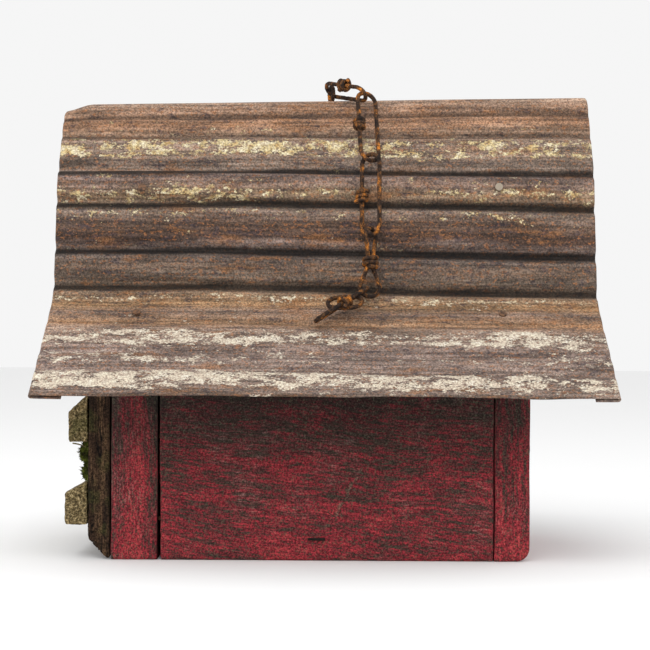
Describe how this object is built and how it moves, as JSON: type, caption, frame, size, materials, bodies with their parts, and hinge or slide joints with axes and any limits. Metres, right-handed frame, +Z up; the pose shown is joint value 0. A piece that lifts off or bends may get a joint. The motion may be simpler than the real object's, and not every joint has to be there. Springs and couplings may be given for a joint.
{
  "type": "birdhouse",
  "caption": "Wooden birdhouse with a bent corrugated steel roof, mossy facade ledges and a rusty hanging chain lying over the ridge.",
  "frame": {"origin": "on the surface the house stands on, below the middle of the roof", "axes": "+X along the ridge from the entrance end to the back, +Y to the far side, +Z up; the entrance faces -X and the chain lies on the -Y slope"},
  "size_m": [0.308, 0.2556, 0.2757],
  "materials": {
    "red_board": "weathered red paint on rough board, worn to dark grain",
    "dark_board": "old bare board, almost black, rough",
    "bare_board": "bare sawn wood, speckled tan, rough",
    "moss": "dry moss",
    "rusty_sheet": "rusted corrugated sheet with flaking cream paint",
    "nail_steel": "dull rusted steel",
    "rusty_wire": "rough orange-brown rusted wire"
  },
  "bodies": {
    "house": {"front_wall": "red_board", "back_wall": "red_board", "near_side_wall": "red_board", "far_side_wall": "red_board", "floor_board": "bare_board", "facade_board": "dark_board", "upper_ledge": "bare_board", "lower_ledge": "bare_board", "moss_upper": "moss", "moss_lower": "moss", "roof_sheet": "rusty_sheet", "roof_nails": "nail_steel", "back_wall_nails": "nail_steel", "front_wall_nails": "nail_steel", "facade_nails": "nail_steel", "ledge_nails": "nail_steel", "floor_staples": "nail_steel", "hanger_eye": "rusty_wire", "hanger_washer": "nail_steel", "hanger_nut": "nail_steel"},
    "link_1": {"chain_link_1": "rusty_wire"},
    "link_2": {"chain_link_2": "rusty_wire"},
    "link_3": {"chain_link_3": "rusty_wire"},
    "link_4": {"chain_link_4": "rusty_wire"},
    "link_5": {"chain_link_5": "rusty_wire"}
  },
  "joints": [
    {"name": "link_1_lift", "type": "hinge", "parent": "house", "child": "link_1", "pos_m": [0.0019, -0.0009, 0.2718], "axis": [-0.669, -0.7433, 0], "range_deg": [0, 25]},
    {"name": "link_2_lift", "type": "hinge", "parent": "link_1", "child": "link_2", "pos_m": [0.0219, -0.0172, 0.2645], "axis": [-1, 0, 0], "range_deg": [0, 30]},
    {"name": "link_3_lift", "type": "hinge", "parent": "link_2", "child": "link_3", "pos_m": [0.0255, -0.0398, 0.2261], "axis": [-1, 0, 0], "range_deg": [0, 60]},
    {"name": "link_4_lift", "type": "hinge", "parent": "link_3", "child": "link_4", "pos_m": [0.0255, -0.0508, 0.183], "axis": [-1, 0, 0], "range_deg": [0, 60]},
    {"name": "link_5_lift", "type": "hinge", "parent": "link_4", "child": "link_5", "pos_m": [0.0197, -0.0564, 0.1482], "axis": [-0.6528, 0.6278, 0.4239], "range_deg": [0, 45]}
  ]
}
